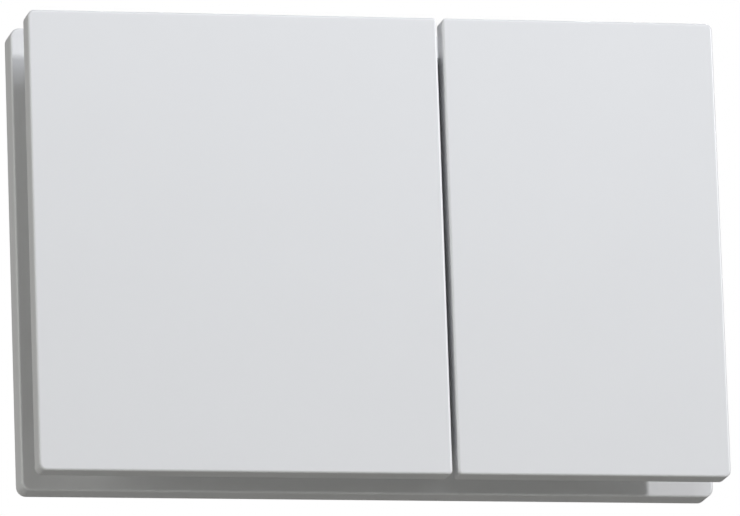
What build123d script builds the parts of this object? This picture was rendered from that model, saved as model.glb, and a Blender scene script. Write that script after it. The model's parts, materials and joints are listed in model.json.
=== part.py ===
"""Dual flush button plate: two floating buttons on a wall plate, with hinges, push rods and wall fixings.

X runs to the right, Z up, and Y into the wall. The origin is the middle of the base plate at the wall face.
Heights called "out" are measured from the wall face towards the user, so out = -Y.
"""

from build123d import *
from math import ceil, cos, pi, radians, sin, tan
import os

# Button panels, seen from the front
FULL_BUTTON_W = 146.0
HALF_BUTTON_W = 97.9
BUTTON_H = 164.0
BUTTON_GAP = 2.1
BUTTON_T = 8.8
BUTTON_SKIN = 2.2
BUTTON_WALL = 2.0
BUTTON_OUTER_CORNER_R = 2.6
BUTTON_INNER_CORNER_R = 1.4
BUTTON_EDGE_R = 0.9
RIB_T = 1.2
RIB_MAX_PITCH = 30.0

# Base plate against the wall, standing a little proud of the buttons all round
BASE_MARGIN = 1.0
BASE_T = 11.2
BASE_SKIN = 2.5
BASE_WALL = 2.5
BASE_CORNER_R = 3.4
BASE_EDGE_R = 0.9
FLOAT_GAP = 21.0

# Button carrier, inset between base plate and buttons
CARRIER_INSET = 13.0
CARRIER_FLOOR = 2.5
CARRIER_WALL = 2.5
CARRIER_CORNER_R = 6.0
RIM_GAP = 1.0

# Rockers behind the panels, and their hinges
HINGE_DROP = 28.0
HINGE_OUT = 23.0
PRESS_DEG = 4.8
PIN_R = 2.0
PIN_RUNNING = 0.05
PRESS_SEAT = 0.02
ROCKER_T = 3.0
ROCKER_CORNER_R = 4.0
ROCKER_TOP_PLAY = 1.0
ROCKER_FOOT = 8.0
LUG_INSET = 24.0
LUG_T = 5.0
LUG_EYE_R = 5.0
LUG_ROOT_W = 12.0
LUG_SIDE_PLAY = 0.4
TOWER_T = 5.0
TOWER_ROOT_W = 14.0
PEG_W = 4.0
PEG_L = 3.6
PEG_INSET = 12.0
SOCKET_W = 7.2

# Stops: rubber pads above the hinge and rubber bumpers below it
PAD_DROP = 19.0
PAD_R = 2.8
PAD_T = 2.0
PAD_POST_R = 3.6
PAD_PLAY = 0.1
BUMPER_RISE = 24.0
BUMPER_R = 4.0
BUMPER_T = 2.6
BUMPER_POST_R = 5.0
BUMPER_PLAY = 0.25

# Push rods, their caps, springs, guides and clips
ROD_X = 44.0
ROD_Z = -30.0
ROD_R = 3.0
ROD_TAIL = 46.0
ROD_NOSE = 18.0
ROD_RUNNING = 0.05
TAPPET_R = 6.0
GUSSET_T = 2.0
GUSSET_REACH = 6.0
CAP_PLAY = 0.1
CAP_R = 5.5
CAP_DOME_R = 12.0
CAP_FLANGE_R = 10.0
CAP_FLANGE_T = 1.5
CAP_FLANGE_OUT = 14.5
CAP_SKIRT_R = 4.5
CAP_SKIRT_L = 5.5
ROD_HOLE_R = 12.5
SPRING_R = 7.3
SPRING_WIRE_R = 0.6
SPRING_TURNS = 6
SPRING_STEPS = 10
SPRING_SIDES = 6
SPRING_SEAT_PLAY = 0.05
GUIDE_R = 6.0
GUIDE_FLANGE_R = 11.0
GUIDE_FLANGE_T = 2.0
GUIDE_TAIL = 6.0
CLIP_R = 6.0
CLIP_T = 1.2
CLIP_GROOVE_D = 0.7
CLIP_MOUTH = 3.6

# Mounting frame in the wall opening
FRAME_W = 204.0
FRAME_H = 116.0
FRAME_WALL = 2.5
FRAME_CORNER_R = 5.0
FRAME_FRONT = 7.2
FRAME_BACK = 11.0
BRIDGE_W = 30.0
BRIDGE_T = 3.0
BRIDGE_RIB_T = 2.0
BRIDGE_RIB_H = 4.0
END_PLATE_W = 20.0
END_PLATE_T = 2.5
END_PLATE_SETBACK = 0.5
COLLAR_PLAY = 0.5
COLLAR_T = 1.8
COLLAR_SETBACK = 1.0

# Fixings
STUD_INSET = 10.0
STUD_R = 3.0
STUD_NOSE_R = 2.0
STUD_HOLE_R = 2.2
STUD_TAIL = 50.0
NUT_R = 7.0
NUT_T = 4.5
NUT_SIDES = 6
SCREW_SIDE_INSET = 12.0
SCREW_TOWER_GAP = 3.0
SCREW_R = 1.75
SCREW_HOLE_R = 2.0
SCREW_L = 14.0
SCREW_HEAD_R = 4.0
SCREW_HEAD_T = 2.6
SCREW_BOSS_R = 4.2

# Places across the plate that follow from the sizes above
PANEL_W = FULL_BUTTON_W + BUTTON_GAP + HALF_BUTTON_W
BASE_W = PANEL_W + 2 * BASE_MARGIN
BASE_H = BUTTON_H + 2 * BASE_MARGIN
CARRIER_W = BASE_W - 2 * CARRIER_INSET
CARRIER_H = BASE_H - 2 * CARRIER_INSET
HINGE_Z = BUTTON_H / 2 - HINGE_DROP
PAD_Z = BUTTON_H / 2 - PAD_DROP
BUMPER_Z = BUMPER_RISE - BUTTON_H / 2
ROCKER_TOP = CARRIER_H / 2 - CARRIER_WALL - ROCKER_TOP_PLAY
ROCKER_BOTTOM = BUMPER_Z - ROCKER_FOOT
STUD_X = FRAME_W / 2 - STUD_INSET
SCREW_X = FRAME_W / 2 - SCREW_SIDE_INSET
SCREW_Z = HINGE_Z - TOWER_ROOT_W / 2 - SCREW_TOWER_GAP - SCREW_HEAD_R
SCREW_POINTS = [(x, z) for x in (-SCREW_X, SCREW_X) for z in (-SCREW_Z, SCREW_Z)]

# Heights out from the wall that follow from the sizes above
BASE_INSIDE = BASE_T - BASE_SKIN
CARRIER_FLOOR_OUT = BASE_T + CARRIER_FLOOR
BUTTON_BACK_OUT = BASE_T + FLOAT_GAP
BUTTON_FRONT_OUT = BUTTON_BACK_OUT + BUTTON_T
BUTTON_SKIN_OUT = BUTTON_FRONT_OUT - BUTTON_SKIN
ROCKER_BACK_OUT = BUTTON_BACK_OUT - ROCKER_T
RIM_OUT = BUTTON_BACK_OUT - RIM_GAP
PLATE_FRONT = BRIDGE_T - FRAME_BACK
END_PLATE_FRONT = END_PLATE_SETBACK + END_PLATE_T
NUT_FRONT = END_PLATE_FRONT + NUT_T
GUIDE_FRONT = PLATE_FRONT + GUIDE_FLANGE_T
GUIDE_BACK = -FRAME_BACK - GUIDE_TAIL
CLIP_FRONT = GUIDE_BACK - CAP_PLAY
CLIP_BACK = CLIP_FRONT - CLIP_T
CAP_TIP = HINGE_OUT - CAP_PLAY
CAP_FLANGE_TOP = CAP_FLANGE_OUT + CAP_FLANGE_T
CAP_SKIRT_END = CAP_FLANGE_OUT - CAP_SKIRT_L
PAD_TOP = ROCKER_BACK_OUT - PAD_PLAY
PAD_SEAT = PAD_TOP - PAD_T
PRESS_SLOPE = tan(radians(PRESS_DEG))
BUMPER_DROP = (HINGE_Z - BUMPER_Z + BUMPER_R) * PRESS_SLOPE
BUMPER_LIFT = (ROCKER_BACK_OUT - HINGE_OUT) * (1 / cos(radians(PRESS_DEG)) - 1)
BUMPER_TOP = ROCKER_BACK_OUT + BUMPER_LIFT - BUMPER_DROP - BUMPER_PLAY
BUMPER_SEAT = BUMPER_TOP - BUMPER_T


class ButtonPlan:
    """Where one button's edges, hinge lugs and stops lie across the plate."""

    def __init__(self, name, left, width, rod_x):
        self.name = name
        self.width = width
        self.middle = left + width / 2
        self.rod_x = rod_x
        lug_reach = width / 2 - LUG_INSET
        tower_reach = lug_reach - LUG_T / 2 - LUG_SIDE_PLAY - TOWER_T / 2
        self.lugs = [self.middle - lug_reach, self.middle + lug_reach]
        self.towers = [self.middle - tower_reach, self.middle + tower_reach]
        self.span = [self.lugs[0] - LUG_T / 2, self.lugs[1] + LUG_T / 2]
        tappet_reach = TAPPET_R + GUSSET_REACH + GUSSET_T
        plate_left = min(self.span[0], rod_x - tappet_reach)
        plate_right = max(self.span[1], rod_x + tappet_reach)
        self.plate = [plate_left, plate_right]
        peg_columns = [self.towers[0] + PEG_INSET, self.towers[1] - PEG_INSET]
        peg_rows = [ROCKER_BOTTOM + PEG_INSET, HINGE_Z - PEG_INSET]
        self.pegs = [(x, z) for x in peg_columns for z in peg_rows]


FULL = ButtonPlan("full_flush", -PANEL_W / 2, FULL_BUTTON_W, -ROD_X)
HALF = ButtonPlan("half_flush", PANEL_W / 2 - HALF_BUTTON_W, HALF_BUTTON_W, ROD_X)
PLANS = [FULL, HALF]


def prism(outline, low, high):
    """An outline drawn as seen from the front, made solid between two heights out from the wall."""
    return extrude(Plane.XZ.offset(low) * outline, high - low)


def post(x, z, radius, low, high):
    """A round post or hole square to the wall."""
    return prism(Pos(x, z) * Circle(radius), low, high)


def square_post(x, z, width, low, high):
    """A square peg or socket that stands out from the wall."""
    return prism(Pos(x, z) * Rectangle(width, width), low, high)


def block(x_low, x_high, z_low, z_high, low, high):
    """A square-edged block between two heights out from the wall."""
    outline = Pos((x_low + x_high) / 2, (z_low + z_high) / 2) * Rectangle(x_high - x_low, z_high - z_low)
    return prism(outline, low, high)


def side_profile(outline, x_middle, thickness):
    """An outline drawn as seen from the right, with depth and height, made solid across X."""
    return extrude(Plane.YZ.offset(x_middle - thickness / 2) * outline, thickness)


def cross_bar(radius, x_low, x_high):
    """A round bar or hole along the hinge line."""
    return Pos((x_low + x_high) / 2, -HINGE_OUT, HINGE_Z) * Rot(0, 90, 0) * Cylinder(radius, x_high - x_low)


def eye_outline(root_out, root_width):
    """A lug that tapers from its root to a round eye on the hinge line."""
    eye = Pos(-HINGE_OUT, HINGE_Z) * Circle(LUG_EYE_R)
    root_low = (-root_out, HINGE_Z - root_width / 2)
    root_high = (-root_out, HINGE_Z + root_width / 2)
    return make_hull(eye.edges() + [Edge.make_line(root_low, root_high)])


def edges_at(solid, out):
    """The edges that lie at one height out from the wall."""
    return solid.edges().filter_by_position(Axis.Y, -out, -out)


def rib_places(length):
    """Evenly spaced rib centres that leave no cell wider than the largest pitch."""
    cells = ceil(length / RIB_MAX_PITCH)
    return [length * (i / cells - 0.5) for i in range(1, cells)]


def rib_grid(x_middle, width, height, low, high):
    """Crossed stiffening ribs that fill a rectangle."""
    ribs = []
    for offset in rib_places(width):
        rib_x = x_middle + offset
        ribs.append(block(rib_x - RIB_T / 2, rib_x + RIB_T / 2, -height / 2, height / 2, low, high))
    for rib_z in rib_places(height):
        left = x_middle - width / 2
        ribs.append(block(left, left + width, rib_z - RIB_T / 2, rib_z + RIB_T / 2, low, high))
    return ribs


def button_outline(plan, shrink):
    """The button's face, with larger corners on the plate's outside than at the gap."""
    outline = Pos(plan.middle, 0) * Rectangle(plan.width - 2 * shrink, BUTTON_H - 2 * shrink)
    outer_is_left = plan.middle < 0
    by_side = outline.vertices().sort_by(Axis.X)
    outer = by_side[:2] if outer_is_left else by_side[2:]
    outline = fillet(outer, max(BUTTON_OUTER_CORNER_R - shrink, BUTTON_INNER_CORNER_R))
    by_side = outline.vertices().sort_by(Axis.X)
    inner = by_side[-2:] if outer_is_left else by_side[:2]
    return fillet(inner, BUTTON_INNER_CORNER_R)


def button_panel(plan):
    """A moulded panel: thin face, wall all round, rib grid and sockets for the rocker's pegs."""
    panel = prism(button_outline(plan, 0), BUTTON_BACK_OUT, BUTTON_FRONT_OUT)
    panel = fillet(edges_at(panel, BUTTON_FRONT_OUT), BUTTON_EDGE_R)
    panel -= prism(button_outline(plan, BUTTON_WALL), BUTTON_BACK_OUT, BUTTON_SKIN_OUT)
    inside_w = plan.width - 2 * BUTTON_WALL
    inside_h = BUTTON_H - 2 * BUTTON_WALL
    panel += rib_grid(plan.middle, inside_w, inside_h, BUTTON_BACK_OUT, BUTTON_SKIN_OUT)
    socket_end = BUTTON_BACK_OUT + PEG_L + PRESS_SEAT
    hole_w = PEG_W + 2 * PRESS_SEAT
    panel += [square_post(x, z, SOCKET_W, BUTTON_BACK_OUT, BUTTON_SKIN_OUT) for x, z in plan.pegs]
    panel -= [square_post(x, z, hole_w, BUTTON_BACK_OUT, socket_end) for x, z in plan.pegs]
    return panel


def tappet_gussets(plan):
    """Crossed webs that brace the tappet against the rocker."""
    reach = TAPPET_R + GUSSET_REACH
    root = Rectangle(2 * reach, GUSSET_T) + Rectangle(GUSSET_T, 2 * reach)
    tip = Rectangle(2 * TAPPET_R, GUSSET_T) + Rectangle(GUSSET_T, 2 * TAPPET_R)
    centre = Pos(plan.rod_x, ROD_Z)
    low_face = Plane.XZ.offset(HINGE_OUT) * centre * tip
    high_face = Plane.XZ.offset(ROCKER_BACK_OUT) * centre * root
    return loft([low_face, high_face], ruled=True)


def rocker(plan):
    """The lever behind a panel: a plate with pegs in front, and two hinge lugs and a tappet behind."""
    left, right = plan.plate
    height = ROCKER_TOP - ROCKER_BOTTOM
    outline = RectangleRounded(right - left, height, ROCKER_CORNER_R)
    place = Pos((left + right) / 2, (ROCKER_TOP + ROCKER_BOTTOM) / 2)
    lever = prism(place * outline, ROCKER_BACK_OUT, BUTTON_BACK_OUT)
    for lug_x in plan.lugs:
        lever += side_profile(eye_outline(ROCKER_BACK_OUT, LUG_ROOT_W), lug_x, LUG_T)
    lever += post(plan.rod_x, ROD_Z, TAPPET_R, HINGE_OUT, ROCKER_BACK_OUT)
    lever += tappet_gussets(plan)
    for x, z in plan.pegs:
        lever += square_post(x, z, PEG_W, BUTTON_BACK_OUT, BUTTON_BACK_OUT + PEG_L)
    return lever - cross_bar(PIN_R + PIN_RUNNING, *plan.span)


def base_plate():
    """A shallow moulded tray, open to the wall, with a collar that locates the mounting frame."""
    plate = prism(RectangleRounded(BASE_W, BASE_H, BASE_CORNER_R), 0, BASE_T)
    plate = fillet(edges_at(plate, BASE_T), BASE_EDGE_R)
    inside_w = BASE_W - 2 * BASE_WALL
    inside_h = BASE_H - 2 * BASE_WALL
    plate -= prism(RectangleRounded(inside_w, inside_h, BASE_CORNER_R - BASE_WALL), 0, BASE_INSIDE)
    collar_w = FRAME_W + 2 * COLLAR_PLAY
    collar_h = FRAME_H + 2 * COLLAR_PLAY
    collar_r = FRAME_CORNER_R + COLLAR_PLAY
    collar_hole = RectangleRounded(collar_w, collar_h, collar_r)
    collar = RectangleRounded(collar_w + 2 * COLLAR_T, collar_h + 2 * COLLAR_T, collar_r + COLLAR_T)
    ribs = prism(collar, COLLAR_SETBACK, BASE_INSIDE)
    ribs += rib_grid(0, inside_w, inside_h, COLLAR_SETBACK, BASE_INSIDE)
    plate += ribs - prism(collar_hole, COLLAR_SETBACK, BASE_INSIDE)
    for plan in PLANS:
        plate -= post(plan.rod_x, ROD_Z, ROD_HOLE_R, BASE_INSIDE, BASE_T)
    for x, z in SCREW_POINTS:
        plate -= post(x, z, SCREW_HOLE_R, BASE_INSIDE, BASE_T)
    return plate


def press_clearance():
    """The wedge taken off the carrier's rim, so that it lies parallel to a pressed button."""
    reach = HINGE_Z + CARRIER_H
    high = (-BUTTON_BACK_OUT, HINGE_Z)
    rim = (-RIM_OUT, HINGE_Z)
    low = (-RIM_OUT + reach * PRESS_SLOPE, HINGE_Z - reach)
    far = (-BUTTON_BACK_OUT, HINGE_Z - reach)
    return side_profile(make_face(Polyline(high, rim, low, far, close=True)), 0, BASE_W)


def button_carrier():
    """The inset tray behind the buttons, with hinge towers and posts for the rubber stops."""
    outline = RectangleRounded(CARRIER_W, CARRIER_H, CARRIER_CORNER_R)
    inside_w = CARRIER_W - 2 * CARRIER_WALL
    inside_h = CARRIER_H - 2 * CARRIER_WALL
    inside = RectangleRounded(inside_w, inside_h, CARRIER_CORNER_R - CARRIER_WALL)
    tray = prism(outline, BASE_T, RIM_OUT) - prism(inside, CARRIER_FLOOR_OUT, RIM_OUT)
    tray -= press_clearance()
    for plan in PLANS:
        for x in plan.towers:
            tray += side_profile(eye_outline(BASE_T, TOWER_ROOT_W), x, TOWER_T)
            tray += post(x, PAD_Z, PAD_POST_R, BASE_T, PAD_SEAT)
            tray += post(x, BUMPER_Z, BUMPER_POST_R, BASE_T, BUMPER_SEAT)
        tray -= cross_bar(PIN_R + PRESS_SEAT, *plan.span)
        tray -= post(plan.rod_x, ROD_Z, ROD_HOLE_R, BASE_T, CARRIER_FLOOR_OUT)
    for x, z in SCREW_POINTS:
        tray -= post(x, z, SCREW_HOLE_R, BASE_T, CARRIER_FLOOR_OUT)
    return tray


def rubber_stops(places, radius, seat, top):
    """Rubber discs, each bonded to the end of its post."""
    return Compound(children=[post(x, z, radius, seat, top) for x, z in places])


def push_rod(plan):
    """A straight rod with a groove for its retaining clip."""
    x = plan.rod_x
    rod = post(x, ROD_Z, ROD_R, CLIP_FRONT, ROD_NOSE)
    rod += post(x, ROD_Z, ROD_R - CLIP_GROOVE_D, CLIP_BACK, CLIP_FRONT)
    return rod + post(x, ROD_Z, ROD_R, -ROD_TAIL, CLIP_BACK)


def contact_cap(plan):
    """A domed cap on the rod's nose, with a flange for the spring and a skirt inside it."""
    x = plan.rod_x
    dome = Pos(x, CAP_DOME_R - CAP_TIP, ROD_Z) * Sphere(CAP_DOME_R)
    cap = post(x, ROD_Z, CAP_R, CAP_FLANGE_TOP, CAP_TIP) & dome
    cap += post(x, ROD_Z, CAP_FLANGE_R, CAP_FLANGE_OUT, CAP_FLANGE_TOP)
    cap += post(x, ROD_Z, CAP_SKIRT_R, CAP_SKIRT_END, CAP_FLANGE_OUT)
    return cap - post(x, ROD_Z, ROD_R + PRESS_SEAT, CAP_SKIRT_END, ROD_NOSE)


def return_spring(plan):
    """A compression spring between the cap's flange and the rod guide."""
    wire_room = SPRING_WIRE_R + SPRING_SEAT_PLAY
    low = GUIDE_FRONT + wire_room
    rise = CAP_FLANGE_OUT - wire_room - low
    steps = SPRING_TURNS * SPRING_STEPS
    sections = []
    for step in range(steps + 1):
        angle = 2 * pi * step / SPRING_STEPS
        spoke = Vector(cos(angle), 0, sin(angle))
        along = Vector(-sin(angle), -rise / (2 * pi * SPRING_R * SPRING_TURNS), cos(angle))
        centre = Vector(plan.rod_x, -low - rise * step / steps, ROD_Z) + spoke * SPRING_R
        sections.append(Plane(centre, x_dir=spoke, z_dir=along) * RegularPolygon(SPRING_WIRE_R, SPRING_SIDES))
    return loft(sections, ruled=True)


def rod_guide(plan):
    """A flanged bush that passes through the bridge and guides the rod."""
    x = plan.rod_x
    bush = post(x, ROD_Z, GUIDE_FLANGE_R, PLATE_FRONT, GUIDE_FRONT)
    bush += post(x, ROD_Z, GUIDE_R, GUIDE_BACK, PLATE_FRONT)
    return bush - post(x, ROD_Z, ROD_R + ROD_RUNNING, GUIDE_BACK, GUIDE_FRONT)


def rod_clip(plan):
    """An open ring that snaps into the rod's groove behind the guide."""
    x = plan.rod_x
    ring = post(x, ROD_Z, CLIP_R, CLIP_BACK, CLIP_FRONT)
    ring -= post(x, ROD_Z, ROD_R - CLIP_GROOVE_D + PRESS_SEAT, CLIP_BACK, CLIP_FRONT)
    return ring - block(x - CLIP_MOUTH / 2, x + CLIP_MOUTH / 2, ROD_Z - CLIP_R, ROD_Z, CLIP_BACK, CLIP_FRONT)


def mounting_frame():
    """The frame in the wall opening, with bridges for the rod guides and end plates for the studs."""
    inside_w = FRAME_W - 2 * FRAME_WALL
    inside_h = FRAME_H - 2 * FRAME_WALL
    outer = RectangleRounded(FRAME_W, FRAME_H, FRAME_CORNER_R)
    inner = RectangleRounded(inside_w, inside_h, FRAME_CORNER_R - FRAME_WALL)
    frame = prism(outer - inner, -FRAME_BACK, FRAME_FRONT)
    half_h = inside_h / 2
    rib_front = PLATE_FRONT + BRIDGE_RIB_H
    for plan in PLANS:
        left = plan.rod_x - BRIDGE_W / 2
        right = plan.rod_x + BRIDGE_W / 2
        frame += block(left, right, -half_h, half_h, -FRAME_BACK, PLATE_FRONT)
        for edge in (left, right - BRIDGE_RIB_T):
            frame += block(edge, edge + BRIDGE_RIB_T, -half_h, half_h, PLATE_FRONT, rib_front)
        frame -= post(plan.rod_x, ROD_Z, GUIDE_R + PRESS_SEAT, -FRAME_BACK, PLATE_FRONT)
    for side in (-1, 1):
        middle = side * (inside_w - END_PLATE_W) / 2
        left = middle - END_PLATE_W / 2
        frame += block(left, left + END_PLATE_W, -half_h, half_h, END_PLATE_SETBACK, END_PLATE_FRONT)
        frame -= post(side * STUD_X, 0, STUD_HOLE_R, END_PLATE_SETBACK, END_PLATE_FRONT)
    for x, z in SCREW_POINTS:
        frame += post(x, z, SCREW_BOSS_R, -FRAME_BACK, BASE_INSIDE)
        frame -= post(x, z, SCREW_R + PRESS_SEAT, CARRIER_FLOOR_OUT - SCREW_L, BASE_INSIDE)
    return frame


def fixing_stud(side):
    """A shouldered stud: a slim nose through the end plate and nut, and a free tail behind the wall face."""
    x = side * STUD_X
    nose = post(x, 0, STUD_NOSE_R, END_PLATE_SETBACK, NUT_FRONT)
    return nose + post(x, 0, STUD_R, -STUD_TAIL, END_PLATE_SETBACK)


def fixing_nut(side):
    """A moulded hexagon nut, tightened on the end plate."""
    outline = RegularPolygon(NUT_R, NUT_SIDES) - Circle(STUD_NOSE_R + PRESS_SEAT)
    return prism(Pos(side * STUD_X, 0) * outline, END_PLATE_FRONT, NUT_FRONT)


def carrier_screws():
    """Screws that clamp carrier and base plate to the mounting frame."""
    screws = []
    head_top = CARRIER_FLOOR_OUT + SCREW_HEAD_T
    for x, z in SCREW_POINTS:
        screw = post(x, z, SCREW_HEAD_R, CARRIER_FLOOR_OUT, head_top)
        screws.append(screw + post(x, z, SCREW_R, CARRIER_FLOOR_OUT - SCREW_L, CARRIER_FLOOR_OUT))
    return Compound(children=screws)


def all_nodes():
    """Every piece under its own name."""
    nodes = {
        "base_plate": base_plate(),
        "mounting_frame": mounting_frame(),
        "button_carrier": button_carrier(),
        "carrier_screws": carrier_screws(),
        "left_fixing_stud": fixing_stud(-1),
        "right_fixing_stud": fixing_stud(1),
        "left_fixing_nut": fixing_nut(-1),
        "right_fixing_nut": fixing_nut(1),
    }
    for plan in PLANS:
        pad_places = [(x, PAD_Z) for x in plan.towers]
        bumper_places = [(x, BUMPER_Z) for x in plan.towers]
        nodes[plan.name + "_button"] = button_panel(plan)
        nodes[plan.name + "_rocker"] = rocker(plan)
        nodes[plan.name + "_hinge_pin"] = cross_bar(PIN_R, *plan.span)
        nodes[plan.name + "_push_rod"] = push_rod(plan)
        nodes[plan.name + "_contact_cap"] = contact_cap(plan)
        nodes[plan.name + "_return_spring"] = return_spring(plan)
        nodes[plan.name + "_rod_guide"] = rod_guide(plan)
        nodes[plan.name + "_rod_clip"] = rod_clip(plan)
        nodes[plan.name + "_rest_pads"] = rubber_stops(pad_places, PAD_R, PAD_SEAT, PAD_TOP)
        nodes[plan.name + "_bumpers"] = rubber_stops(bumper_places, BUMPER_R, BUMPER_SEAT, BUMPER_TOP)
    return nodes


os.makedirs("parts", exist_ok=True)
for node_name, solid in all_nodes().items():
    export_step(solid, os.path.join("parts", node_name + ".step"))
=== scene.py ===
import bpy
import json
from math import cos, pi, radians, sin
from mathutils import Matrix, Vector


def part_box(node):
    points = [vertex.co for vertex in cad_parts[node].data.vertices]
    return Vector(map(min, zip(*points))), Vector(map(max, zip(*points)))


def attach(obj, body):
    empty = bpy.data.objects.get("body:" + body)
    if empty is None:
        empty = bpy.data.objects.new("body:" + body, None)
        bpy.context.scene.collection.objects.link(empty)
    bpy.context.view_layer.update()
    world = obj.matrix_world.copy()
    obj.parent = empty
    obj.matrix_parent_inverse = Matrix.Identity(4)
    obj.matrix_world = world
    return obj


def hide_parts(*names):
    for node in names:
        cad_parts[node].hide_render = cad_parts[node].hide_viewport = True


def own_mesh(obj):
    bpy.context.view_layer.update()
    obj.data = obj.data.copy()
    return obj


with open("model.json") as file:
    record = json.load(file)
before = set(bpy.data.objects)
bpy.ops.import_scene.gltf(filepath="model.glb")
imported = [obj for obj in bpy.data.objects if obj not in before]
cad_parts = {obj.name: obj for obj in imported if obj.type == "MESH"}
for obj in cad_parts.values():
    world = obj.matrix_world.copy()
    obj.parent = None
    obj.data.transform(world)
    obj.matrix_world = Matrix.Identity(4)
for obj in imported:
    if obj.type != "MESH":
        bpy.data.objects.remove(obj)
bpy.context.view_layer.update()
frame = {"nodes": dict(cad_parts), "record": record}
nodes = frame["nodes"]
MM = 0.001
FLUSHES = ("full_flush", "half_flush")

# Push rods: the frame's places and ends, with ring notches near the tail
rod_low, rod_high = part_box("full_flush_push_rod")
ROD_X = {flush: sum(corner.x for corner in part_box(flush + "_push_rod")) / 2 for flush in FLUSHES}
ROD_Z = (rod_low.z + rod_high.z) / 2
ROD_R = (rod_high.x - rod_low.x) / 2
ROD_FRONT_Y = rod_low.y
ROD_BACK_Y = rod_high.y
ROD_PLAIN_TIP = 2.0 * MM
ROD_NOTCHED_L = 20.0 * MM
ROD_NOTCH_TO_Y = ROD_BACK_Y - ROD_PLAIN_TIP
ROD_NOTCH_FROM_Y = ROD_NOTCH_TO_Y - ROD_NOTCHED_L
ROD_NOTCH_PITCH = 4.0 * MM
ROD_NOTCH_DEPTH = 0.35 * MM

# Return springs: round wire that stands on the front of the rod's guide
SPRING_SEAT_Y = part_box("full_flush_rod_guide")[0].y
SPRING_SEAT_PLAY = 0.05 * MM
SPRING_TURNS = 6.0
SPRING_COIL_R = 7.3 * MM
SPRING_WIRE_R = 0.6 * MM
SPRING_LENGTH = 19.2 * MM
SPRING_FRONT_Y = SPRING_SEAT_Y - SPRING_SEAT_PLAY - SPRING_WIRE_R - SPRING_LENGTH

# Fixing studs: the frame's ends and spacing, with a thread on the slim nose and on the tail
stud_low, stud_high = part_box("left_fixing_stud")
STUD_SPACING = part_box("right_fixing_stud")[0].x - stud_low.x
STUD_FRONT_Y = stud_low.y
STUD_BACK_Y = stud_high.y
STUD_NOSE_L = 7.0 * MM
STUD_SHOULDER_Y = STUD_FRONT_Y + STUD_NOSE_L
STUD_NOSE_R = 2.0 * MM
STUD_NOSE_PITCH = 0.7 * MM
STUD_NOSE_PLAIN = 0.8 * MM
STUD_TAIL_R = 3.0 * MM
STUD_TAIL_PITCH = 1.0 * MM
STUD_TAIL_PLAIN = 3.0 * MM
THREAD_PAST_END = 0.3 * MM
THREAD_DEPTH_IN_PITCHES = 0.5

# Fineness of the meshes
WIRE_SIDES = 10
COIL_STEPS = 40
BAR_SIDES = 28
ROD_RINGS = 256
STUD_NOSE_RINGS = 60
STUD_TAIL_RINGS = 320
CREASE_ANGLE = radians(50.0)

# Fineness of the finishes
MOTTLE_DETAIL = 3.0
GRAIN_DETAIL = 2.0
CLOUD_SCALE = 160.0
DRAWN_LINE_DEPTH = 0.01 * MM
RELIEF_STRENGTH = 0.5

# Places of a mix node's colour sockets, whose names it gives to its other sockets too
MIX_COLOUR_A = 6
MIX_COLOUR_B = 7
MIX_COLOUR_RESULT = 2

# Camera
VIEW_AZIMUTH = radians(12.5)
VIEW_RISE = radians(13.0)
VIEW_ROLL = radians(-1.97)
VIEW_DISTANCE = 3.2
VIEW_LENS = 446.1
VIEW_REACH = 40.0
VIEW_AIM = Vector((-3.9 * MM, -41.0 * MM, -5.2 * MM))

# Floor and surround, with the share of pale tone that the camera sees and of white that gloss mirrors
FLOOR_Z = -1.25
FLOOR_HALF_WIDTH = 14.0
FLOOR_SEEN = 0.9
ROOM_LIGHT = 0.035
ROOM_MIRRORED = 0.3


def linear(red, green, blue):
    """A display colour from 0 to 255 as the linear colour that a shader takes."""
    def channel(value):
        value /= 255.0
        return value / 12.92 if value <= 0.04045 else ((value + 0.055) / 1.055) ** 2.4
    return (channel(red), channel(green), channel(blue), 1.0)


def placed(name, data):
    """A new object in the scene, at the origin."""
    thing = bpy.data.objects.new(name, data)
    bpy.context.scene.collection.objects.link(thing)
    return thing


# Building blocks for node trees

def feed(tree, node, values):
    """Gives each of a node's inputs another node's socket or a plain value."""
    for place, value in values.items():
        if isinstance(value, bpy.types.NodeSocket):
            tree.links.new(value, node.inputs[place])
        else:
            node.inputs[place].default_value = value


def add_node(tree, kind, values=None, **settings):
    """A node with its properties set and its inputs fed."""
    node = tree.nodes.new(kind)
    for name, value in settings.items():
        setattr(node, name, value)
    feed(tree, node, values or {})
    return node


def math_node(tree, operation, *values):
    """One sum on values that are either sockets or numbers; returns the result's socket."""
    return add_node(tree, "ShaderNodeMath", dict(enumerate(values)), operation=operation).outputs[0]


def new_tree(name, kind, inputs, outputs):
    """A node group with named sockets of the given kinds; returns it with the sockets of its inputs."""
    tree = bpy.data.node_groups.new(name, kind)
    for direction, sockets in (("INPUT", inputs), ("OUTPUT", outputs)):
        for socket, socket_kind in sockets.items():
            tree.interface.new_socket(
                name=socket, in_out=direction, socket_type="NodeSocket" + socket_kind)
    return tree, add_node(tree, "NodeGroupInput").outputs


# Surface effects that several finishes share

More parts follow.
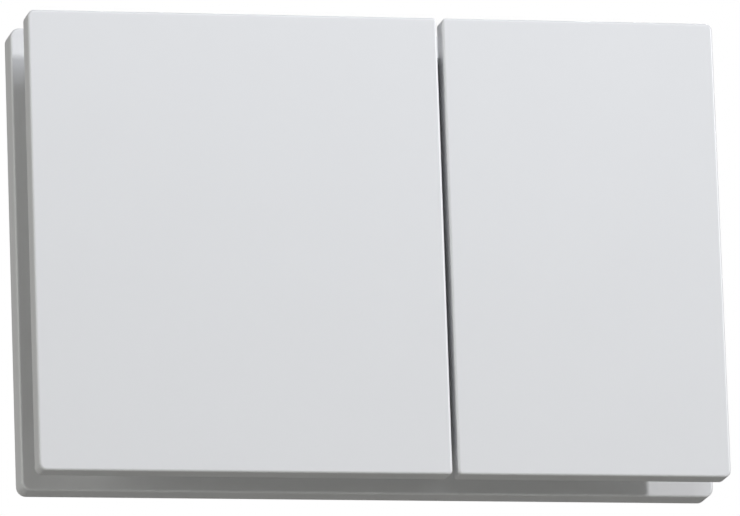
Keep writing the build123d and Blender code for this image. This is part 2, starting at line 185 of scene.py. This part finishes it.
def moulded_skin_group():
    """Moulded plastic: faint mottling of the colour, uneven gloss and a fine spark-eroded grain."""
    tree, given = new_tree(
        "moulded_skin", "ShaderNodeTree",
        inputs={"Colour": "Color", "Mottle Scale": "Float", "Mottle Amount": "Float",
                "Grain Scale": "Float", "Roughness Low": "Float", "Roughness High": "Float"},
        outputs={"Colour": "Color", "Roughness": "Float", "Grain": "Float"})
    place = add_node(tree, "ShaderNodeTexCoord").outputs["Object"]
    mottle = add_node(tree, "ShaderNodeTexNoise", {
        "Vector": place, "Scale": given["Mottle Scale"], "Detail": MOTTLE_DETAIL}).outputs[0]
    centred = math_node(tree, "SUBTRACT", mottle, 0.5)
    swing = math_node(tree, "MULTIPLY", centred, given["Mottle Amount"])
    tint = add_node(tree, "ShaderNodeVectorMath", {
        0: given["Colour"], "Scale": math_node(tree, "ADD", swing, 1.0)}, operation="SCALE")
    roughness = add_node(tree, "ShaderNodeMapRange", {
        "Value": mottle, "To Min": given["Roughness Low"], "To Max": given["Roughness High"]})
    grain = add_node(tree, "ShaderNodeTexNoise", {
        "Vector": place, "Scale": given["Grain Scale"], "Detail": GRAIN_DETAIL})
    add_node(tree, "NodeGroupOutput", {
        "Colour": tint.outputs[0], "Roughness": roughness.outputs[0], "Grain": grain.outputs[0]})
    return tree


def drawn_metal_group():
    """Plated or drawn metal: cloudy tint, and fine lines that run along the piece."""
    tree, given = new_tree(
        "drawn_metal", "ShaderNodeTree",
        inputs={"Colour": "Color", "Cloud Colour": "Color", "Line Scale": "Vector",
                "Roughness Low": "Float", "Roughness High": "Float"},
        outputs={"Colour": "Color", "Roughness": "Float", "Lines": "Float"})
    place = add_node(tree, "ShaderNodeTexCoord").outputs["Object"]
    cloud = add_node(tree, "ShaderNodeTexNoise", {"Vector": place, "Scale": CLOUD_SCALE})
    blend = add_node(tree, "ShaderNodeMix", {
        "Factor": cloud.outputs[0], MIX_COLOUR_A: given["Colour"],
        MIX_COLOUR_B: given["Cloud Colour"]},
        data_type="RGBA")
    stretch = add_node(tree, "ShaderNodeVectorMath", {0: place, 1: given["Line Scale"]}, operation="MULTIPLY")
    lines = add_node(tree, "ShaderNodeTexNoise", {"Vector": stretch.outputs[0], "Scale": 1.0}).outputs[0]
    roughness = add_node(tree, "ShaderNodeMapRange", {
        "Value": lines, "To Min": given["Roughness Low"], "To Max": given["Roughness High"]})
    add_node(tree, "NodeGroupOutput", {
        "Colour": blend.outputs[MIX_COLOUR_RESULT], "Roughness": roughness.outputs[0], "Lines": lines})
    return tree


MOULDED_SKIN = moulded_skin_group()
DRAWN_METAL = drawn_metal_group()


# Finishes

def shader_of(material):
    """The material's own shader."""
    return material.node_tree.nodes["Principled BSDF"]


def finish_from_group(name, group, values, height, depth):
    """A material whose colour, gloss and fine relief come from one of the shared effects."""
    material = bpy.data.materials.new(name)
    material.use_nodes = True
    tree = material.node_tree
    skin = add_node(tree, "ShaderNodeGroup", values, node_tree=group)
    relief = add_node(tree, "ShaderNodeBump", {
        "Height": skin.outputs[height], "Distance": depth, "Strength": RELIEF_STRENGTH})
    feed(tree, shader_of(material), {
        "Base Color": skin.outputs["Colour"], "Roughness": skin.outputs["Roughness"],
        "Normal": relief.outputs["Normal"]})
    return material


def moulded_plastic(name, colour, mottle, grain_scale, roughness, depth, mottle_scale=20.0):
    """A moulded plastic or rubber, with its least and greatest roughness."""
    values = {"Colour": colour, "Mottle Amount": mottle, "Mottle Scale": mottle_scale,
              "Grain Scale": grain_scale, "Roughness Low": roughness[0], "Roughness High": roughness[1]}
    return finish_from_group(name, MOULDED_SKIN, values, "Grain", depth)


def plated_metal(name, colour, cloud, line_scale, roughness):
    """A metal, with its least and greatest roughness."""
    values = {"Colour": colour, "Cloud Colour": cloud, "Line Scale": line_scale,
              "Roughness Low": roughness[0], "Roughness High": roughness[1]}
    material = finish_from_group(name, DRAWN_METAL, values, "Lines", DRAWN_LINE_DEPTH)
    shader_of(material).inputs["Metallic"].default_value = 1.0
    return material


satin_white = moulded_plastic(
    "satin_white_plastic", colour=(0.875, 0.88, 0.89, 1.0), mottle=0.012, grain_scale=1800.0,
    roughness=(0.30, 0.36), depth=0.006 * MM)
textured_white = moulded_plastic(
    "textured_white_plastic", colour=(0.70, 0.705, 0.71, 1.0), mottle=0.04, grain_scale=1300.0,
    roughness=(0.50, 0.60), depth=0.02 * MM)
matt_grey = moulded_plastic(
    "matt_grey_plastic", colour=linear(150, 152, 155), mottle=0.32, grain_scale=850.0,
    roughness=(0.46, 0.66), depth=0.06 * MM, mottle_scale=55.0)
natural_acetal = moulded_plastic(
    "natural_acetal", colour=linear(228, 225, 215), mottle=0.03, grain_scale=700.0,
    roughness=(0.24, 0.32), depth=0.004 * MM)
feed(natural_acetal.node_tree, shader_of(natural_acetal), {
    "Subsurface Weight": 0.25, "Subsurface Radius": (1.0, 0.98, 0.90), "Subsurface Scale": 1.5 * MM})
matt_black = moulded_plastic(
    "matt_black_plastic", colour=linear(48, 50, 52), mottle=0.15, grain_scale=1200.0,
    roughness=(0.50, 0.62), depth=0.03 * MM)
stop_rubber = moulded_plastic(
    "stop_rubber", colour=linear(40, 40, 42), mottle=0.20, grain_scale=900.0,
    roughness=(0.72, 0.86), depth=0.04 * MM)
zinc_plate = plated_metal(
    "bright_zinc", colour=(0.62, 0.62, 0.60, 1.0), cloud=(0.54, 0.58, 0.62, 1.0),
    line_scale=(700.0, 60.0, 700.0), roughness=(0.24, 0.40))
spring_wire = plated_metal(
    "spring_wire", colour=(0.52, 0.52, 0.52, 1.0), cloud=(0.42, 0.43, 0.45, 1.0),
    line_scale=(500.0, 500.0, 500.0), roughness=(0.26, 0.42))

SLOT_FINISH = {
    "plate_white": satin_white,
    "carrier_white": textured_white,
    "frame_grey": matt_grey,
    "acetal": natural_acetal,
    "nut_plastic": matt_black,
    "zinc_steel": zinc_plate,
    "spring_steel": spring_wire,
    "rubber": stop_rubber,
}
for subpart in frame["record"]["subparts"]:
    mesh = nodes[subpart["node"]].data
    mesh.materials.clear()
    mesh.materials.append(SLOT_FINISH[subpart["material_slot"]])


# Pieces that follow a rule, made by geometry nodes

def shape_tree(name, inputs):
    """A geometry tree that gives one shape."""
    return new_tree(name, "GeometryNodeTree", inputs, outputs={"Geometry": "Geometry"})


def close_tree(tree, geometry, finish):
    """Ends a tree: no instances, smooth faces, and the piece's finish."""
    real = add_node(tree, "GeometryNodeRealizeInstances", {0: geometry})
    smooth = add_node(tree, "GeometryNodeSetShadeSmooth", {0: real.outputs[0]})
    paint = add_node(tree, "GeometryNodeSetMaterial", {"Geometry": smooth.outputs[0], "Material": finish})
    add_node(tree, "NodeGroupOutput", {"Geometry": paint.outputs[0]})


def turned_to_depth(tree, geometry, translation):
    """Turns a piece that was made upright so that it lies along the depth, and puts it in its place."""
    return add_node(tree, "GeometryNodeTransform", {
        "Geometry": geometry, "Rotation": (-pi / 2, 0.0, 0.0), "Translation": translation}).outputs[0]


def coil_spring_tree():
    """Round wire wound along the depth."""
    tree, given = shape_tree("coil_spring", {
        "Turns": "Float", "Coil Radius": "Float", "Wire Radius": "Float", "Length": "Float",
        "Front End": "Vector", "Finish": "Material"})
    spiral = add_node(tree, "GeometryNodeCurveSpiral", {
        "Resolution": COIL_STEPS, "Rotations": given["Turns"], "Height": given["Length"],
        "Start Radius": given["Coil Radius"], "End Radius": given["Coil Radius"]})
    wire = add_node(tree, "GeometryNodeCurvePrimitiveCircle", {
        "Resolution": WIRE_SIDES, "Radius": given["Wire Radius"]})
    sweep = add_node(tree, "GeometryNodeCurveToMesh", {
        "Curve": spiral.outputs[0], "Profile Curve": wire.outputs[0], "Fill Caps": True})
    close_tree(tree, turned_to_depth(tree, sweep.outputs[0], given["Front End"]), given["Finish"])
    return tree


def grooved_bar_tree():
    """An upright round bar with grooves over part of its length: rings, or a thread when Helix is 1."""
    tree, given = shape_tree("grooved_bar", {
        "Radius": "Float", "Groove Depth": "Float", "Pitch": "Float", "Helix": "Float",
        "Low End": "Float", "High End": "Float", "Groove From": "Float", "Groove To": "Float",
        "Rings": "Int"})
    length = math_node(tree, "SUBTRACT", given["High End"], given["Low End"])
    both = math_node(tree, "ADD", given["High End"], given["Low End"])
    centre = add_node(tree, "ShaderNodeCombineXYZ", {"Z": math_node(tree, "MULTIPLY", both, 0.5)})
    bar = add_node(tree, "GeometryNodeMeshCylinder", {
        "Vertices": BAR_SIDES, "Side Segments": given["Rings"], "Radius": given["Radius"],
        "Depth": length})
    lift = add_node(tree, "GeometryNodeTransform", {
        "Geometry": bar.outputs["Mesh"], "Translation": centre.outputs[0]})
    position = add_node(tree, "GeometryNodeInputPosition")
    axes = add_node(tree, "ShaderNodeSeparateXYZ", {0: position.outputs[0]}).outputs
    angle = math_node(tree, "ARCTAN2", axes["Y"], axes["X"])
    lead = math_node(tree, "MULTIPLY", math_node(tree, "DIVIDE", angle, 2 * pi), given["Helix"])
    along = math_node(tree, "DIVIDE", axes["Z"], given["Pitch"])
    phase = math_node(tree, "FRACT", math_node(tree, "SUBTRACT", along, lead))
    off_middle = math_node(tree, "ABSOLUTE", math_node(tree, "SUBTRACT", phase, 0.5))
    valley = math_node(tree, "SUBTRACT", 1.0, math_node(tree, "MULTIPLY", off_middle, 2.0))
    from_start = math_node(tree, "SUBTRACT", axes["Z"], given["Groove From"])
    from_end = math_node(tree, "SUBTRACT", given["Groove To"], axes["Z"])
    inside = math_node(tree, "MINIMUM", from_start, from_end)
    run_in = add_node(tree, "ShaderNodeClamp", {"Value": math_node(tree, "DIVIDE", inside, given["Pitch"])})
    full_cut = math_node(tree, "MULTIPLY", valley, given["Groove Depth"])
    cut = math_node(tree, "MULTIPLY", full_cut, run_in.outputs[0])
    share = math_node(tree, "SUBTRACT", 1.0, math_node(tree, "DIVIDE", cut, given["Radius"]))
    shape = add_node(tree, "ShaderNodeCombineXYZ", {
        "X": math_node(tree, "MULTIPLY", axes["X"], share),
        "Y": math_node(tree, "MULTIPLY", axes["Y"], share), "Z": axes["Z"]})
    cut_bar = add_node(tree, "GeometryNodeSetPosition", {
        "Geometry": lift.outputs[0], "Position": shape.outputs[0]})
    add_node(tree, "NodeGroupOutput", {"Geometry": cut_bar.outputs[0]})
    return tree


GROOVED_BAR = grooved_bar_tree()


def grooved_bar(tree, sizes):
    """Places a grooved bar in another tree, with its own sizes."""
    return add_node(tree, "GeometryNodeGroup", sizes, node_tree=GROOVED_BAR).outputs[0]


def fixing_studs_tree():
    """Two shouldered studs: a slim threaded nose and a thicker threaded tail, a set distance apart."""
    tree, given = shape_tree("fixing_studs", {
        "Spacing": "Float", "Front End": "Float", "Shoulder": "Float", "Back End": "Float",
        "Nose Radius": "Float", "Nose Pitch": "Float", "Tail Radius": "Float", "Tail Pitch": "Float",
        "Finish": "Material"})
    nose = grooved_bar(tree, {
        "Radius": given["Nose Radius"], "Pitch": given["Nose Pitch"], "Helix": 1.0,
        "Groove Depth": math_node(tree, "MULTIPLY", given["Nose Pitch"], THREAD_DEPTH_IN_PITCHES),
        "Low End": given["Front End"], "High End": given["Shoulder"],
        "Groove From": math_node(tree, "SUBTRACT", given["Front End"], THREAD_PAST_END),
        "Groove To": math_node(tree, "SUBTRACT", given["Shoulder"], STUD_NOSE_PLAIN),
        "Rings": STUD_NOSE_RINGS})
    tail = grooved_bar(tree, {
        "Radius": given["Tail Radius"], "Pitch": given["Tail Pitch"], "Helix": 1.0,
        "Groove Depth": math_node(tree, "MULTIPLY", given["Tail Pitch"], THREAD_DEPTH_IN_PITCHES),
        "Low End": given["Shoulder"], "High End": given["Back End"],
        "Groove From": math_node(tree, "ADD", given["Shoulder"], STUD_TAIL_PLAIN),
        "Groove To": math_node(tree, "ADD", given["Back End"], THREAD_PAST_END),
        "Rings": STUD_TAIL_RINGS})
    whole = add_node(tree, "GeometryNodeJoinGeometry")
    for part in (nose, tail):
        tree.links.new(part, whole.inputs[0])
    stud = turned_to_depth(tree, whole.outputs[0], (0.0, 0.0, 0.0))
    half = math_node(tree, "MULTIPLY", given["Spacing"], 0.5)
    left = add_node(tree, "ShaderNodeCombineXYZ", {"X": math_node(tree, "MULTIPLY", half, -1.0)})
    right = add_node(tree, "ShaderNodeCombineXYZ", {"X": half})
    ends = add_node(tree, "GeometryNodeMeshLine", {
        "Count": 2, "Start Location": left.outputs[0], "Offset": right.outputs[0]}, mode="END_POINTS")
    pair = add_node(tree, "GeometryNodeInstanceOnPoints", {"Points": ends.outputs[0], "Instance": stud})
    close_tree(tree, pair.outputs[0], given["Finish"])
    return tree


def push_rod_tree():
    """A rod whose tail has ring notches, where it is cut to length."""
    tree, given = shape_tree("push_rod", {
        "Place": "Vector", "Radius": "Float", "Front End": "Float", "Back End": "Float",
        "Notch From": "Float", "Notch To": "Float", "Notch Pitch": "Float", "Notch Depth": "Float",
        "Finish": "Material"})
    rod = grooved_bar(tree, {
        "Radius": given["Radius"], "Pitch": given["Notch Pitch"], "Helix": 0.0,
        "Groove Depth": given["Notch Depth"],
        "Low End": given["Front End"], "High End": given["Back End"],
        "Groove From": given["Notch From"], "Groove To": given["Notch To"],
        "Rings": ROD_RINGS})
    close_tree(tree, turned_to_depth(tree, rod, given["Place"]), given["Finish"])
    return tree


def grown_piece(name, tree, values):
    """Runs a geometry tree with its inputs set by socket, and keeps the result as a plain mesh."""
    carrier = placed(name + "_source", bpy.data.meshes.new(name + "_source"))
    modifier = carrier.modifiers.new("shape", "NODES")
    modifier.node_group = tree
    for socket in tree.interface.items_tree:
        if socket.in_out == "INPUT":
            modifier[socket.identifier] = values[socket.name]
    evaluated = carrier.evaluated_get(bpy.context.evaluated_depsgraph_get())
    mesh = bpy.data.meshes.new_from_object(evaluated)
    mesh.name = name
    mesh.set_sharp_from_angle(angle=CREASE_ANGLE)
    bpy.data.objects.remove(carrier)
    return placed(name, mesh)


SPRING_TREE = coil_spring_tree()
ROD_TREE = push_rod_tree()
for flush in FLUSHES:
    spring = grown_piece(flush + "_coil", SPRING_TREE, {
        "Turns": SPRING_TURNS, "Coil Radius": SPRING_COIL_R, "Wire Radius": SPRING_WIRE_R,
        "Length": SPRING_LENGTH, "Front End": (ROD_X[flush], SPRING_FRONT_Y, ROD_Z),
        "Finish": spring_wire})
    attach(spring, "plate_body")
    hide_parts(flush + "_return_spring")
    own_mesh(spring)
    rod = grown_piece(flush + "_notched_rod", ROD_TREE, {
        "Place": (ROD_X[flush], 0.0, ROD_Z), "Radius": ROD_R, "Front End": ROD_FRONT_Y,
        "Back End": ROD_BACK_Y, "Notch From": ROD_NOTCH_FROM_Y, "Notch To": ROD_NOTCH_TO_Y,
        "Notch Pitch": ROD_NOTCH_PITCH, "Notch Depth": ROD_NOTCH_DEPTH, "Finish": natural_acetal})
    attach(rod, flush.split("_")[0] + "_rod")
    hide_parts(flush + "_push_rod")

studs = grown_piece("threaded_studs", fixing_studs_tree(), {
    "Spacing": STUD_SPACING, "Front End": STUD_FRONT_Y, "Shoulder": STUD_SHOULDER_Y,
    "Back End": STUD_BACK_Y, "Nose Radius": STUD_NOSE_R, "Nose Pitch": STUD_NOSE_PITCH,
    "Tail Radius": STUD_TAIL_R, "Tail Pitch": STUD_TAIL_PITCH, "Finish": zinc_plate})
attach(studs, "plate_body")
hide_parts("left_fixing_stud", "right_fixing_stud")


# Studio: floor, white surround, a narrow key from the right, and soft fill from the left, above and behind

def pale_floor():
    """A plain floor well below the plate, paler to the camera than to the light that it throws back."""
    mesh = bpy.data.meshes.new("floor")
    sides = ((-1, -1), (1, -1), (1, 1), (-1, 1))
    corners = [(x * FLOOR_HALF_WIDTH, y * FLOOR_HALF_WIDTH, FLOOR_Z) for x, y in sides]
    mesh.from_pydata(corners, [], [(0, 1, 2, 3)])
    floor = placed("floor", mesh)
    paint = moulded_plastic(
        "pale_floor", colour=(0.57, 0.565, 0.54, 1.0), mottle=0.02, grain_scale=60.0,
        roughness=(0.75, 0.85), depth=0.1 * MM)
    tree = paint.node_tree
    pale = add_node(tree, "ShaderNodeEmission", {"Color": (0.60, 0.60, 0.605, 1.0)})
    ray = add_node(tree, "ShaderNodeLightPath").outputs
    seen = math_node(tree, "MULTIPLY", ray["Is Camera Ray"], FLOOR_SEEN)
    choose = add_node(tree, "ShaderNodeMixShader", {
        0: seen, 1: shader_of(paint).outputs[0], 2: pale.outputs[0]})
    feed(tree, tree.nodes["Material Output"], {"Surface": choose.outputs[0]})
    mesh.materials.append(paint)


def white_surround():
    """White behind the object, an even grey light on it, and a paler room for the metal to reflect."""
    world = bpy.data.worlds.new("studio")
    bpy.context.scene.world = world
    world.use_nodes = True
    tree = world.node_tree
    tree.nodes.clear()
    lighting = add_node(tree, "ShaderNodeBackground", {
        "Color": (1.0, 1.0, 0.95, 1.0), "Strength": ROOM_LIGHT})
    white = add_node(tree, "ShaderNodeBackground", {"Color": (1.0, 1.0, 1.0, 1.0)})
    ray = add_node(tree, "ShaderNodeLightPath").outputs
    mirrored = math_node(tree, "MULTIPLY", ray["Is Glossy Ray"], ROOM_MIRRORED)
    seen = math_node(tree, "MAXIMUM", ray["Is Camera Ray"], mirrored)
    choose = add_node(tree, "ShaderNodeMixShader", {0: seen, 1: lighting.outputs[0], 2: white.outputs[0]})
    add_node(tree, "ShaderNodeOutputWorld", {"Surface": choose.outputs[0]})


def area_light(name, towards, distance, size, power, colour=(1.0, 1.0, 1.0), spread=pi):
    """A rectangular lamp that faces the plate from the given direction."""
    lamp = bpy.data.lights.new(name, "AREA")
    lamp.shape = "RECTANGLE"
    lamp.size, lamp.size_y = size
    lamp.energy = power
    lamp.color = colour
    lamp.spread = spread
    light = placed(name, lamp)
    direction = Vector(towards).normalized()
    light.location = direction * distance
    light.rotation_mode = "QUATERNION"
    light.rotation_quaternion = (-direction).to_track_quat("-Z", "Y")


def photo_camera():
    """A long lens from the left and below, turned slightly about its axis to keep the edges near upright."""
    ahead = Vector((sin(VIEW_AZIMUTH), cos(VIEW_AZIMUTH), 0.0))
    forward = ahead * cos(VIEW_RISE) + Vector((0.0, 0.0, sin(VIEW_RISE)))
    level = Vector((cos(VIEW_AZIMUTH), -sin(VIEW_AZIMUTH), 0.0))
    upright = level.cross(forward)
    right = level * cos(VIEW_ROLL) + upright * sin(VIEW_ROLL)
    up = right.cross(forward)
    lens = bpy.data.cameras.new("camera")
    lens.lens = VIEW_LENS
    lens.clip_end = VIEW_REACH
    camera = placed("camera", lens)
    turn = Matrix((right, up, -forward)).transposed()
    camera.matrix_world = Matrix.Translation(VIEW_AIM - forward * VIEW_DISTANCE) @ turn.to_4x4()
    bpy.context.scene.camera = camera


pale_floor()
white_surround()
area_light("key", towards=(1.12, -1.0, 0.47), distance=5.0, size=(0.175, 0.40), power=147.0,
           colour=(0.985, 0.99, 1.005))
area_light("left_fill", towards=(-1.0, -0.35, 0.1), distance=2.6, size=(1.8, 1.8), power=22.5,
           colour=(1.0, 0.995, 0.96))
area_light("top_fill", towards=(0.10, -0.75, 0.65), distance=0.9, size=(0.5, 0.25), power=2.45,
           colour=(0.95, 0.985, 1.06))
area_light("back_fill", towards=(0.3, 1.0, 0.4), distance=2.5, size=(0.8, 0.8), power=2.8,
           spread=radians(50.0))
photo_camera()
bpy.context.scene.view_settings.view_transform = "Standard"
